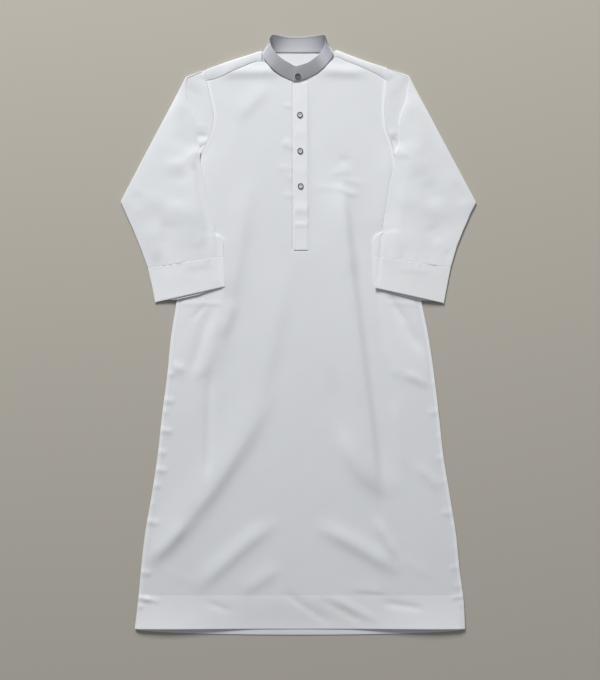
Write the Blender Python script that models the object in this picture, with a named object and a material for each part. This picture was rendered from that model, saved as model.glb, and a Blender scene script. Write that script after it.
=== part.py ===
"""A men's thobe laid flat on its back: white robe, grey band collar.

+X is the viewer's right, +Y runs from the hem towards the collar and +Z is up from the surface that
the robe lies on. Tables and sizes are in millimetres; the last step of each piece turns them to metres.
The back panel lies flat, the front lies on it, and the sleeves are turned down over both sides.
"""

from collections import namedtuple

import bmesh
import bpy
import numpy as np

MM = 0.001

# ---- driving sizes, in millimetres ---------------------------------------------------------------
CLOTH_WALL = 1.2          # body and sleeve cloth, as a wall that a solid can carry
BAND_WALL = 1.6           # collar band with its interlining
SEAM_GAP = 0.3            # between two pieces along a seam
LAY_GAP = 0.8             # between a sleeve and the front that it lies on
HEM_Y = -733.0            # lower edge of the front
HEM_DEPTH = 84.0          # turned-up hem
HEM_STEP = 0.8            # how far the turned-up hem stands above the single cloth
BACK_DROP = 15.0          # how far the back's hem shows below the front's, at the middle
BUTTON_DIAMETER = 14.5
BUTTON_HEIGHT = 3.0
PLACKET_WIDTH = 38.0
PLACKET_FOOT_Y = 213.0    # lower end of the placket

WHITE = (0.80, 0.81, 0.82, 1.0)
GREY = (0.42, 0.42, 0.45, 1.0)
BUTTON_GREY = (0.24, 0.24, 0.26, 1.0)

# ---- tables --------------------------------------------------------------------------------------
Edge = namedtuple("Edge", "y left right")
# The body's side seams from the hem to the armpits, then the armhole seams up to the shoulders.
BODY_EDGES = [
    Edge(-733, -409, 416), Edge(-656, -400, 412), Edge(-590, -394, 403), Edge(-500, -384, 394),
    Edge(-400, -367, 378), Edge(-300, -352, 362), Edge(-200, -341, 351), Edge(-100, -328, 339),
    Edge(0, -318, 324), Edge(75, -306, 309), Edge(180, -292, 290), Edge(300, -272, 268),
    Edge(390, -255, 250), Edge(444, -246, 241),
    Edge(480, -229, 232), Edge(520, -216, 219), Edge(548, -212, 216), Edge(585, -219, 216),
    Edge(615, -225, 219), Edge(645, -231, 221), Edge(661, -231, 221),
]
ARMPIT_Y = 444.0

Point = namedtuple("Point", "x y")
# Seam between the front and the part of the back that comes over the shoulders, then the neck.
FRONT_TOP = [
    Point(-231, 636), Point(-213, 640), Point(-147, 668), Point(-92, 684), Point(-82, 678),
    Point(-64, 655), Point(-14, 632), Point(34, 641), Point(79, 680), Point(92, 694),
    Point(118, 685), Point(182, 659), Point(216, 640), Point(221, 636),
]
# Fold of the back along the top of the shoulders, and the straight back neck between them.
BACK_TOP = [
    Point(-231, 661), Point(-160, 687), Point(-92, 709), Point(-82, 705), Point(-58, 704),
    Point(0, 704), Point(58, 704), Point(82, 705), Point(92, 711), Point(160, 686), Point(221, 661),
]

Station = namedtuple("Station", "seam_x seam_y fold_x fold_y tuck")
# Sections of a sleeve from the shoulder to the cuff seam. seam is the armhole seam and, past the
# armpit, the underarm seam; fold is the outer edge; tuck is where the pleat over the cap has its
# edge, as a share of the way from the fold to the seam.
SLEEVE_LEFT = [
    Station(-231, 661, -244, 659.5, 0.50), Station(-231, 645, -262, 652.7, 0.40),
    Station(-225, 615, -281.8, 645, 0.20), Station(-219, 585, -298, 614, 0.30),
    Station(-212, 548, -323, 566, 0.54), Station(-216, 520, -340, 534, 0.68),
    Station(-229, 480, -367.5, 482, 0.83), Station(-246, 444, -393, 434, 1.0),
    Station(-237, 394, -412.5, 396, 1.0), Station(-224, 339, -432, 359, 1.0),
    Station(-216, 306, -443.75, 334, 1.0), Station(-209, 274, -429, 299, 1.0),
    Station(-201, 241, -412, 261, 1.0), Station(-197.5, 214, -391, 209, 1.0),
    Station(-194.5, 197.5, -376.5, 168, 1.0),
]
SLEEVE_RIGHT = [
    Station(221, 661, 235, 661.5, 0.50), Station(221, 645, 254, 655.5, 0.40),
    Station(219, 615, 276, 648, 0.20), Station(216, 585, 289, 622, 0.32),
    Station(216, 548, 313.5, 576, 0.58), Station(219, 520, 327, 551, 0.71),
    Station(232, 480, 354, 500, 0.84), Station(241, 444, 381, 449, 1.0),
    Station(232.5, 394, 400, 414, 1.0), Station(224, 344, 421, 374, 1.0),
    Station(218, 309, 443.75, 332, 1.0), Station(213, 276, 429, 304, 1.0),
    Station(207.5, 244, 412, 264, 1.0), Station(203, 216, 396, 224, 1.0),
    Station(201, 199, 380, 169, 1.0),
]
CUFF_LEFT = [
    Station(-194.3, 197.2, -376.3, 167.7, 1.0), Station(-189, 158, -366, 123, 1.0),
    Station(-184, 122, -358, 83, 1.0),
]
CUFF_RIGHT = [
    Station(200.8, 198.7, 379.8, 168.7, 1.0), Station(196, 158, 371, 124, 1.0),
    Station(191, 119, 362.5, 81, 1.0),
]

Band = namedtuple("Band", "seam_x seam_y rim_x rim_y rim_z bow lift")
# Sections of the collar band, from its upper front end by the right side and the back to the end
# that is lapped under it. bow is how far the band bulges outwards, lift how far it is raised.
COLLAR = [
    Band(-14, 631.5, -5, 672, 16.5, 1.5, 2.6), Band(12, 635, 8, 677, 17, 1.8, 2.3),
    Band(34, 641, 26, 684, 18, 2.2, 1.0), Band(60, 660, 42, 694, 21, 3.0, 0),
    Band(79, 680, 54, 705, 25, 4.5, 0), Band(90.5, 698, 62, 720, 27, 6.5, 0),
    Band(89, 711, 69, 734, 24, 8.0, 0), Band(78, 708, 70, 746, 16, 6.0, 0),
    Band(64, 706.8, 62, 748.4, 10, 2.2, 0), Band(36, 706.8, 34, 746, 7, 1.2, 0),
    Band(0, 706.8, 0, 744.5, 6, 1.2, 0), Band(-36, 706.8, -34, 746, 7, 1.2, 0),
    Band(-64, 706.8, -62, 748.4, 10, 2.2, 0), Band(-78, 708, -70, 746, 16, 6.0, 0),
    Band(-89, 711, -69, 734, 24, 8.0, 0), Band(-90.5, 697, -63, 718, 27, 6.5, 0),
    Band(-82, 678, -56, 705, 25, 4.5, 0), Band(-64, 656, -42, 694, 21, 3.0, 0),
    Band(-40, 641, -26, 684, 17, 2.2, 0), Band(-14, 631.5, -8, 674, 13.8, 1.8, 0),
    Band(9, 634.5, 5, 675, 13.6, 1.8, 0),
]

Fold = namedtuple("Fold", "x1 y1 x2 y2 half_width height")
# The largest folds of the front, each a soft ridge from one end to the other.
FOLDS = [
    Fold(-95, -195, -195, -395, 30, 3.6), Fold(-195, -395, -350, -560, 26, 3.2),
    Fold(-82, -455, -235, -610, 26, 3.0), Fold(118, 300, 145, 20, 26, 2.6),
    Fold(145, 20, 205, -350, 30, 3.2), Fold(75, -470, 228, -572, 24, 3.0),
    Fold(126, -295, 220, -398, 22, 2.2), Fold(-118, 350, -182, -60, 28, 2.4),
    Fold(232, 80, 296, -35, 22, 2.0), Fold(-60, 120, -78, 70, 20, 1.6),
    Fold(-190, 664, -62, 662, 12, 2.6), Fold(70, 666, 152, 664, 12, 2.6),
    Fold(-85, 610, -150, 545, 24, 1.8), Fold(110, -660, 172, -700, 16, 1.8),
]

Pocket = namedtuple("Pocket", "y side inner")
# A pocket bag's outline by height: side is its edge by the side seam, inner its edge inside.
POCKET_LEFT = [
    Pocket(256, -250, -212), Pocket(236, -262, -190), Pocket(75, -288, -190), Pocket(-40, -306, -212),
    Pocket(-98, -312, -236), Pocket(-106, -306, -250),
]
POCKET_RIGHT = [
    Pocket(252, 244, 208), Pocket(234, 258, 190), Pocket(75, 290, 206), Pocket(-40, 310, 220),
    Pocket(-98, 322, 240), Pocket(-106, 314, 254),
]
POCKET_RISE = 1.7         # how far a pocket bag lifts the front
LOFT = 2.2                # how far the front stands off the back away from its edges

BUTTON_CENTRES = [("button_1", 3.5, 551), ("button_2", 4.5, 461), ("button_3", 5.5, 373)]


# ---- small helpers -------------------------------------------------------------------------------
def smooth(t):
    """Soft step: 0 below 0, 1 above 1, and level at both ends."""
    t = np.clip(t, 0.0, 1.0)
    return t * t * (3.0 - 2.0 * t)


def between(rows, share):
    """Points at the given shares of a table's rows, on straight lines from row to row."""
    table = np.array(rows, float)
    spot = np.asarray(share, float) * (len(table) - 1)
    return np.stack([np.interp(spot, np.arange(len(table)), column) for column in table.T], axis=-1)


def body_edges(y):
    """x of the body's left and right edge at each height y."""
    table = np.array(BODY_EDGES)
    return np.interp(y, table[:, 0], table[:, 1]), np.interp(y, table[:, 0], table[:, 2])


def pocket_cover(rows, x, y):
    """1 over a pocket bag and 0 away from it, soft over 12 mm round its outline."""
    table = np.array(rows)[::-1]
    side = np.interp(y, table[:, 0], table[:, 1])
    inner = np.interp(y, table[:, 0], table[:, 2])
    low, high = np.minimum(side, inner), np.maximum(side, inner)
    across = smooth((x - low + 8) / 12) * smooth((high - x + 8) / 12)
    return across * smooth((y - table[0, 0] + 10) / 14) * smooth((table[-1, 0] - y + 12) / 14)


def ridge(fold, x, y):
    """Height of one soft ridge: a bell across it, fading in and out over its ends."""
    span = np.array([fold.x2 - fold.x1, fold.y2 - fold.y1], float)
    length = np.hypot(*span)
    way = span / length
    run = ((x - fold.x1) * way[0] + (y - fold.y1) * way[1]) / length
    off = (x - fold.x1) * -way[1] + (y - fold.y1) * way[0]
    ends = smooth(run / 0.25 + 0.6) * smooth((1 - run) / 0.25 + 0.6)
    return fold.height * ends * np.exp(-(off / fold.half_width) ** 2)


def front_top(x, y):
    """Height of the front's upper face: edges laid on the back, lofted, folded and pocketed inside."""
    left, right = body_edges(y)
    inside = np.clip(np.minimum(x - left, right - x), 0, None)
    lying = CLOTH_WALL + SEAM_GAP + CLOTH_WALL
    loft = LOFT * smooth(inside / 80)
    folds = sum(ridge(fold, x, y) for fold in FOLDS) * smooth(inside / 40)
    pockets = POCKET_RISE * (pocket_cover(POCKET_LEFT, x, y) + pocket_cover(POCKET_RIGHT, x, y))
    pockets = pockets * smooth(inside / 10)
    hem = HEM_STEP * smooth((HEM_Y + HEM_DEPTH - y) / 3)
    return lying + loft + folds + pockets + hem


def build_object(name, points, faces, colour, roughness):
    """One named object from points in millimetres and faces, with its own material."""
    mesh = bpy.data.meshes.new(name)
    mesh.from_pydata((np.asarray(points) * MM).tolist(), [], faces)
    work = bmesh.new()
    work.from_mesh(mesh)
    bmesh.ops.triangulate(work, faces=work.faces)
    bmesh.ops.recalc_face_normals(work, faces=work.faces)
    work.to_mesh(mesh)
    work.free()
    mesh.shade_smooth()
    mesh.set_sharp_from_angle(angle=np.radians(40))
    material = bpy.data.materials.new(name + "_cloth")
    material.use_nodes = True
    shader = material.node_tree.nodes["Principled BSDF"]
    shader.inputs["Base Color"].default_value = colour
    shader.inputs["Roughness"].default_value = roughness
    shader.inputs["Metallic"].default_value = 0.0
    mesh.materials.append(material)
    piece = bpy.data.objects.new(name, mesh)
    bpy.context.scene.collection.objects.link(piece)
    return piece


def grid_faces(rows, columns, keep=None):
    """Quads of a grid of rows by columns; keep says which cells are there."""
    faces = []
    for row in range(rows - 1):
        for column in range(columns - 1):
            if keep is None or keep[row, column]:
                corner = row * columns + column
                faces.append((corner, corner + 1, corner + columns + 1, corner + columns))
    return faces


def cloth(name, face, back_face, colour=WHITE, keep=None, roughness=0.85):
    """A cloth piece between two grids of points: both faces, and a wall along every free edge."""
    rows, columns = face.shape[:2]
    quads = grid_faces(rows, columns, keep)
    count = rows * columns
    sides = {}
    for quad in quads:
        for start, end in zip(quad, quad[1:] + quad[:1]):
            sides[(start, end)] = True
    walls = [(end, start, start + count, end + count) for start, end in sides if (end, start) not in sides]
    faces = quads + [tuple(point + count for point in reversed(quad)) for quad in quads] + walls
    points = np.concatenate([face.reshape(-1, 3), back_face.reshape(-1, 3)])
    used = sorted({point for face_points in faces for point in face_points})
    renumber = {old: new for new, old in enumerate(used)}
    faces = [tuple(renumber[point] for point in face_points) for face_points in faces]
    return build_object(name, points[used], faces, colour, roughness)


# ---- body: front and back ------------------------------------------------------------------------
# Columns of the body's grids, as places along the shoulders' line, closer together by the sides.
COLUMN_X = np.array([
    -231, -228, -222, -213, -190, -160, -125, -92, -82, -64, -40, -14, 12, 34, 58, 79, 92, 118, 150,
    182, 203, 212, 218, 221,
], float)
ROW_Y = np.array([
    HEM_Y, -712, -690, HEM_Y + HEM_DEPTH - 3, HEM_Y + HEM_DEPTH, -610, -570, -530, -490, -450, -410,
    -370, -330, -290, -250, -210, -170, -132, -106, -94, -60, -20, 25, 75, 125, 180, 226, 246, 258, 300,
    345, 390, 444, 480, 520, 548, 585, 615, 636,
], float)
BACK_ROW_Y = np.array([
    HEM_Y, -690, -620, -550, -480, -410, -340, -270, -200, -130, -60, 10, 80, 150, 220, 290, 345, 400,
], float)


def body_plan(top_points, rows, hem_drop=0.0):
    """Plan positions of a body panel: straight columns between its sides, bent to its top and hem.

    The top's rise above the sides fades out downwards as the cube of the height's share, and so
    does the hem's drop upwards.
    """
    share = (COLUMN_X - COLUMN_X[0]) / (COLUMN_X[-1] - COLUMN_X[0])
    left, right = body_edges(rows)
    height = ((rows - rows[0]) / (rows[-1] - rows[0]))[:, None]
    x = left[:, None] * (1 - share) + right[:, None] * share
    top = np.array(top_points, float)
    rise = np.interp(COLUMN_X, top[:, 0], top[:, 1]) - rows[-1]
    y = rows[:, None] + rise * height**3 - hem_drop * (4 * share * (1 - share)) ** 0.5 * (1 - height) ** 24
    return x, y


def make_front():
    """The whole front: lies on the back, its neck cut out, its hem turned up."""
    x, y = body_plan(FRONT_TOP, ROW_Y)
    top = front_top(x, y)
    upper = np.stack([x, y, top], axis=-1)
    lower = np.stack([x, y, top - CLOTH_WALL], axis=-1)
    cloth("front", upper, lower)
    return x[-1], y[-1]


def make_back(seam_x, seam_y):
    """The whole back: flat underneath, folded over each shoulder to the forward seam."""
    armhole = [row.y for row in BODY_EDGES if row.y >= ARMPIT_Y]
    rows = np.concatenate([BACK_ROW_Y, armhole])
    x, y = body_plan(BACK_TOP, rows, BACK_DROP)
    floor = np.zeros_like(x)
    neck = np.array([-92.0, 92.0])
    on_shoulder = (COLUMN_X <= neck[0]) | (COLUMN_X >= neck[1])
    edge_y = y[-1].copy()
    seam_height = front_top(seam_x, seam_y)
    fold_height = np.maximum(seam_height, 4.0)
    radius = fold_height / 2
    y[-1] = np.where(on_shoulder, edge_y - radius, edge_y)
    outer = [np.stack([x, y, floor], axis=-1)]
    inner = [np.stack([x, y, floor + CLOTH_WALL], axis=-1)]
    for angle in np.radians([45, 90, 135]):
        for rings, reach in ((outer, radius), (inner, radius - CLOTH_WALL)):
            ring_y = edge_y - radius + reach * np.sin(angle)
            ring_z = radius - reach * np.cos(angle)
            rings.append(np.stack([x[-1], ring_y, ring_z], axis=-1)[None])
    for share in (0.0, 0.35, 0.7, 1.0):
        strip_y = (edge_y - radius) * (1 - share) + (seam_y + SEAM_GAP) * share
        strip_z = fold_height * (1 - share) + seam_height * share
        strip_x = x[-1] * (1 - share) + seam_x * share
        outer.append(np.stack([strip_x, strip_y, strip_z], axis=-1)[None])
        inner.append(np.stack([strip_x, strip_y, strip_z - CLOTH_WALL], axis=-1)[None])
    outer, inner = np.concatenate(outer), np.concatenate(inner)
    keep = np.ones((len(outer) - 1, len(COLUMN_X) - 1), bool)
    keep[len(rows) - 1:] = on_shoulder[:-1] & on_shoulder[1:]
    cloth("back", outer, inner, keep=keep)


# ---- sleeves and cuffs ---------------------------------------------------------------------------
TUBE_EDGE = 4.0           # height of a sleeve at its folded edges, from outside to outside
TUBE_PUFF = 2.3           # how much more it stands at its middle
TUCK_SLOPE = 3.0          # how wide the step of the pleat over the cap is, in plan
LIFT_START, LIFT_END = 50.0, 25.0   # a sleeve leaves the floor and is over the body, from its edge
CAP_SHARES = np.array([0.9, 0.75, 0.58, 0.4, 0.23, 0.1])
UNDER_SHARES = np.array([0.1, 0.28, 0.46, 0.64, 0.82])
SLEEVE_FOLDS = [
    Fold(-330, 470, -395, 440, 16, 1.6), Fold(-262, 330, -360, 300, 18, 1.8),
    Fold(-240, 250, -330, 262, 14, 1.4), Fold(-300, 560, -322, 440, 20, 1.4),
    Fold(330, 450, 392, 395, 18, 1.8), Fold(265, 330, 350, 296, 18, 1.6),
    Fold(250, 262, 330, 255, 14, 1.4), Fold(300, 560, 316, 450, 20, 1.4),
]


def bridged_top(x, y, reach=18.0):
    """Height of the front as a layer over it feels it: the highest of the places close by."""
    steps = (-reach, 0.0, reach)
    return np.max([front_top(x + dx, y + dy) for dx in steps for dy in steps], axis=0)


def lying_height(x, y):
    """Height of what a sleeve lies on: the floor, then the front, with a soft climb before its edge."""
    near_y = np.minimum(y, ARMPIT_Y)
    left, right = body_edges(near_y)
    outside = np.where(x < 0, left - x, x - right)
    away = np.where(y > near_y, np.hypot(np.clip(outside, 0, None), y - near_y), outside)
    climb = smooth((LIFT_START - away) / (LIFT_START - LIFT_END))
    return climb * (bridged_top(np.clip(x, left, right), near_y) + LAY_GAP)


def tube_rings(stations, share):
    """Outer and inner points of a flattened tube that is open along its underarm seam.

    Each section runs from the seam over the top to the outer fold, round it, and back underneath.
    """
    rows = between(stations, share)
    seam, fold, tuck = rows[:, 0:2], rows[:, 2:4], rows[:, 4]
    side = np.sign(fold[:, 0])
    closed = smooth((ARMPIT_Y + 38 - seam[:, 1]) / 38)
    seam = seam.copy()
    seam[:, 0] += side * (SEAM_GAP + 0.1) * (1 - closed)
    width = np.hypot(*(seam - fold).T)
    radius = np.full(len(rows), TUBE_EDGE / 2)

    turned = closed * np.pi / 2
    first = np.ones_like(width)
    second_reach = np.maximum(radius * (np.sin(turned) - np.sin(turned / 2)), 0.5)
    second = 1 - np.maximum(0.5 * (1 - tuck) * width, second_reach) / width
    third = np.minimum(tuck + TUCK_SLOPE / width, 1 - 2.0 / width)
    fourth = np.minimum(tuck, 1 - 5.0 / width)
    reach = radius / width
    caps = [reach + (fourth - reach) * cap for cap in CAP_SHARES]
    upper = np.stack([first, second, third, fourth] + caps, axis=-1)
    last_flat = 1 - np.minimum(5.0 / width, 0.4)
    under_end = np.stack([last_flat, 1 - 2.0 / width, 1 - 0.6 / width, first], axis=-1)
    unders = [reach + (last_flat - reach) * place for place in UNDER_SHARES]
    under = np.concatenate([np.stack(unders, axis=-1), under_end], axis=-1)

    def plan(shares):
        return fold[:, None] + (seam - fold)[:, None] * shares[..., None]

    def standing(points, shares):
        """Height of the top layer over the bottom one."""
        place = np.clip(shares / fourth[:, None], 0, 1)
        puff = TUBE_PUFF * (4 * place * (1 - place)) ** 0.7
        creases = sum(ridge(crease, points[..., 0], points[..., 1]) for crease in SLEEVE_FOLDS)
        return TUBE_EDGE + puff + creases * smooth(place / 0.15) * smooth((1 - place) / 0.15)

    top_plan, low_plan = plan(upper), plan(under)
    low = lying_height(low_plan[..., 0], low_plan[..., 1])
    under_top = lying_height(top_plan[..., 0], top_plan[..., 1])
    high = under_top + standing(top_plan, upper)
    top_turn = np.zeros_like(upper)
    top_turn[:, 0], top_turn[:, 1] = turned, turned / 2
    low_turn = np.zeros_like(under)
    low_turn[:, -1], low_turn[:, -2] = turned, turned / 2
    split = 0.15 * closed[:, None] * np.array([1.0, 0.0, 0.0])
    half = radius[:, None]
    settled = (TUBE_EDGE - 2 * CLOTH_WALL - SEAM_GAP) * (1 - smooth(closed / 0.3))[:, None]
    high[:, :3] = under_top[:, :3] + half + half * np.cos(top_turn[:, :3]) + split
    high[:, :3] -= settled * np.array([1.0, 0.7, 0.35])
    low[:, -3:] += half - half * np.cos(low_turn[:, -3:]) - split[:, ::-1]
    inward = (fold - seam) / width[:, None]

    def layer(points, height, turn, upright):
        outer = np.concatenate([points, height[..., None]], axis=-1)
        step = np.concatenate([
            inward[:, None] * np.sin(turn)[..., None], upright * np.cos(turn)[..., None],
        ], axis=-1)
        return outer, outer + CLOTH_WALL * step

    top_outer, top_inner = layer(top_plan, high, top_turn, -1.0)
    low_outer, low_inner = layer(low_plan, low, low_turn, 1.0)
    base = lying_height(fold[:, 0], fold[:, 1])
    round_outer, round_inner = [], []
    for angle in np.radians([0, 45, 90, 135, 180]):
        for rings, size in ((round_outer, radius), (round_inner, radius - CLOTH_WALL)):
            inset = (radius - size * np.sin(angle)) / width
            place = fold + (seam - fold) * inset[:, None]
            rings.append(np.column_stack([place, base + radius + size * np.cos(angle)])[:, None])
    outer = np.concatenate([top_outer] + round_outer + [low_outer], axis=1)
    inner = np.concatenate([top_inner] + round_inner + [low_inner], axis=1)
    return outer, inner


def make_sleeve(name, stations):
    """A one-piece sleeve, from its armhole to the cuff seam."""
    share = np.linspace(0, 1, 2 * len(stations) - 1)
    cloth(name, *tube_rings(stations, share))


def make_cuff(name, stations):
    """A straight cuff band round the sleeve's end."""
    cloth(name, *tube_rings(stations, np.linspace(0, 1, 4)))


# ---- collar --------------------------------------------------------------------------------------
COLLAR_LIFT = 0.4         # between the band's lower edge and the cloth that it is sewn to
BACK_SEAT = 0.6           # height of the band's lower edge beside the back's neck edge
BUTTON_SECTION = 1        # section of the band that carries its button
BUTTON_UP = 0.26          # how far up that section's middle stretch the button sits


def curved(rows, share):
    """Points at the given shares of a table's rows, on a Catmull-Rom curve through every row."""
    table = np.array(rows, float)
    slope = np.gradient(table, axis=0)
    spot = np.asarray(share, float) * (len(table) - 1)
    row = np.minimum(spot.astype(int), len(table) - 2)
    t = (spot - row)[:, None]
    start = (2 * t**3 - 3 * t**2 + 1) * table[row] + (t**3 - 2 * t**2 + t) * slope[row]
    end = (3 * t**2 - 2 * t**3) * table[row + 1] + (t**3 - t**2) * slope[row + 1]
    return start + end


def make_collar():
    """The band collar: a strip bent round the neck, leaning up and back, its front ends lapped."""
    share = np.linspace(0, 1, 2 * len(COLLAR) - 1)
    rows = curved(COLLAR, share)
    seam, rim = rows[:, 0:2], rows[:, 2:4]
    on_back = smooth((seam[:, 1] - 704) / 6)
    on_front = bridged_top(seam[:, 0], np.minimum(seam[:, 1], 684), 7.0) + COLLAR_LIFT
    over = BAND_WALL * (1 - on_back)[:, None, None]
    seat = on_back * BACK_SEAT + (1 - on_back) * on_front + rows[:, 6]
    low = np.column_stack([seam, seat])
    high = np.column_stack([rim, rows[:, 4]])
    heights = np.array([0.0, 0.3, 0.65, 1.0])[None, :, None]
    bow = rows[:, 5][:, None, None] * 4 * heights * (1 - heights)
    ahead = np.column_stack([np.gradient(seam, axis=0), np.zeros(len(seam))])
    up = high - low
    outward = np.cross(ahead, up)
    outward = (outward / np.linalg.norm(outward, axis=1)[:, None])[:, None]
    outer = low[:, None] + up[:, None] * heights + outward * (bow + over)
    facing = np.cross(np.gradient(outer, axis=0), np.gradient(outer, axis=1))
    facing /= np.linalg.norm(facing, axis=2)[..., None]
    cloth("collar", outer, outer - facing * BAND_WALL, colour=GREY)
    lower, upper = outer[BUTTON_SECTION, 1], outer[BUTTON_SECTION, 2]
    return lower * (1 - BUTTON_UP) + upper * BUTTON_UP, facing[BUTTON_SECTION, 1]


# ---- placket, pocket bags and buttons ------------------------------------------------------------
PLACKET_LEFT_X = -14.5
PLACKET_WALL = 1.0
PLACKET_TOP = [Point(-14.5, 631.0), Point(5, 632.5), Point(23.5, 636.0)]
POCKET_WALL = 1.2
BUTTON_LIFT = 0.4         # between a button and the cloth under it


def make_placket():
    """The strip down the chest opening: it lies on the front, moved out by its own gap."""
    across = np.linspace(0, 1, 6)
    down = np.linspace(0, 1, 22)[:, None]
    x = PLACKET_LEFT_X + PLACKET_WIDTH * across[None] + np.zeros_like(down)
    head = np.interp(x, [point.x for point in PLACKET_TOP], [point.y for point in PLACKET_TOP])
    y = PLACKET_FOOT_Y + (head - 3.0 - PLACKET_FOOT_Y) * down
    base = front_top(x, y) + SEAM_GAP + 0.1
    cloth("placket", np.stack([x, y, base + PLACKET_WALL], -1), np.stack([x, y, base], -1))


def make_pocket(name, rows):
    """A side pocket's bag: a flat layer between the back and the front, by the side seam."""
    table = np.array(rows, float)
    fine = between(table, np.linspace(0, 1, 11))
    across = np.array([0.12, 0.4, 0.7, 1.0])
    x = fine[:, 1:2] * (1 - across) + fine[:, 2:3] * across
    y = np.repeat(fine[:, 0:1], len(across), axis=1)
    low = np.full_like(x, CLOTH_WALL + SEAM_GAP)
    cloth(name, np.stack([x, y, low + POCKET_WALL], -1), np.stack([x, y, low], -1))


def make_button(name, seat, normal):
    """A round button standing on its seat: a low turned disc with a raised rim and a dished middle."""
    half = BUTTON_DIAMETER / 2
    profile = np.array([
        (0.45, 0.0), (0.92, 0.0), (1.0, 0.3), (1.0, 0.75), (0.9, 1.0), (0.72, 1.0), (0.58, 0.7), (0.3, 0.66),
    ])
    turn = np.radians(np.arange(0, 360, 30))
    ring = np.stack([np.cos(turn), np.sin(turn)], axis=-1)
    radii, heights = profile[:, 0] * half, profile[:, 1] * BUTTON_HEIGHT
    right = np.cross([0.0, 1.0, 0.0], normal)
    right /= np.linalg.norm(right)
    forward = np.cross(normal, right)
    around = ring[:, :1] * right + ring[:, 1:] * forward
    points = [seat + r * around + (h + BUTTON_LIFT) * normal for r, h in zip(radii, heights)]
    sides = len(turn)
    faces = []
    for row in range(len(profile) - 1):
        for step in range(sides):
            after = (step + 1) % sides
            faces.append((row * sides + step, row * sides + after,
                          (row + 1) * sides + after, (row + 1) * sides + step))
    faces.append(tuple(reversed(range(sides))))
    faces.append(tuple(range((len(profile) - 1) * sides, len(profile) * sides)))
    build_object(name, np.concatenate(points), faces, BUTTON_GREY, 0.35)


if __name__ == "__main__":
    for old in list(bpy.data.objects):
        bpy.data.objects.remove(old, do_unlink=True)
    forward_seam = make_front()
    make_back(*forward_seam)
    make_sleeve("sleeve_left", SLEEVE_LEFT)
    make_sleeve("sleeve_right", SLEEVE_RIGHT)
    make_cuff("cuff_left", CUFF_LEFT)
    make_cuff("cuff_right", CUFF_RIGHT)
    collar_seat, collar_normal = make_collar()
    make_placket()
    make_pocket("pocket_left", POCKET_LEFT)
    make_pocket("pocket_right", POCKET_RIGHT)
    make_button("button_collar", collar_seat, collar_normal)
    for name, x, y in BUTTON_CENTRES:
        seat = np.array([x, y, float(front_top(x, y)) + SEAM_GAP + PLACKET_WALL + 0.1])
        make_button(name, seat, np.array([0.0, 0.0, 1.0]))
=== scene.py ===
import bmesh
import bpy
import numpy as np
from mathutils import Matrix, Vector


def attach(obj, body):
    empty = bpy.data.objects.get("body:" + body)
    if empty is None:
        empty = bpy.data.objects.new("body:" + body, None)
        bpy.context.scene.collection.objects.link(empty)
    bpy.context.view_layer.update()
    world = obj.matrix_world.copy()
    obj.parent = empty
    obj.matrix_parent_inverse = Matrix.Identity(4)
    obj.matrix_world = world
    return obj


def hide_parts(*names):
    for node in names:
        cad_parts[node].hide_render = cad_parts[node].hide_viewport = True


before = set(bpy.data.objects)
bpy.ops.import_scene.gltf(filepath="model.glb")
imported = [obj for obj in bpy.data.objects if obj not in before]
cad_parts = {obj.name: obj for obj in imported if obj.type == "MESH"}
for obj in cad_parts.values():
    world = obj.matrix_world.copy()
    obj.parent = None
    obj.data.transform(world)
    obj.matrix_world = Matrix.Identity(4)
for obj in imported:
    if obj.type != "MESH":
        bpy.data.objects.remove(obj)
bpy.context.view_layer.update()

# ==== Room ====
# A plain pale floor under the robe, one wide soft light over its collar end and a weak fill, and the
# camera straight above, as far away as a person on a ladder would stand.

FLOOR_SIZE = 7.0  # metres, as everything of the room
FLOOR_DROP = 0.0004  # the floor lies just under the cloth
FLOOR_COLOUR = "#BFBAAF"
VIEW_HEIGHT = 1.700  # how much of the floor the picture takes in
CAMERA_PLACE = (0.0037, -0.0113, 4.2)
SENSOR = 36.0


def linear(hex_colour):
    """Linear RGBA of an sRGB hex colour."""
    parts = [int(hex_colour[i:i + 2], 16) / 255 for i in (1, 3, 5)]
    return [c / 12.92 if c <= 0.04045 else ((c + 0.055) / 1.055) ** 2.4 for c in parts] + [1.0]


def in_scene(name, data):
    """A new object for a mesh, a light or a camera, in the scene."""
    thing = bpy.data.objects.new(name, data)
    bpy.context.scene.collection.objects.link(thing)
    return thing


def plain_material(name, colour, roughness):
    """A material of one colour, with its node tree and its shader node."""
    material = bpy.data.materials.new(name)
    material.use_nodes = True
    shader = material.node_tree.nodes["Principled BSDF"]
    shader.inputs["Base Color"].default_value = linear(colour)
    shader.inputs["Roughness"].default_value = roughness
    return material, material.node_tree, shader


def make_floor():
    """A flat square of painted board, in one colour."""
    half = FLOOR_SIZE / 2
    mesh = bpy.data.meshes.new("floor")
    corners = [(x * half, y * half, -FLOOR_DROP) for x, y in ((-1, -1), (1, -1), (1, 1), (-1, 1))]
    mesh.from_pydata(corners, [], [(0, 1, 2, 3)])
    floor = in_scene("floor", mesh)
    board, _, shader = plain_material("painted board", FLOOR_COLOUR, 0.9)
    shader.inputs["Specular IOR Level"].default_value = 0.2
    mesh.materials.append(board)


def add_light(name, place, aim, size, power, colour):
    """A square area light at a place, turned to its aim."""
    lamp = bpy.data.lights.new(name, "AREA")
    lamp.size, lamp.energy, lamp.color = size, power, linear(colour)[:3]
    holder = in_scene(name, lamp)
    holder.location = place
    holder.rotation_euler = (Vector(aim) - Vector(place)).to_track_quat("-Z", "Y").to_euler()


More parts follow.
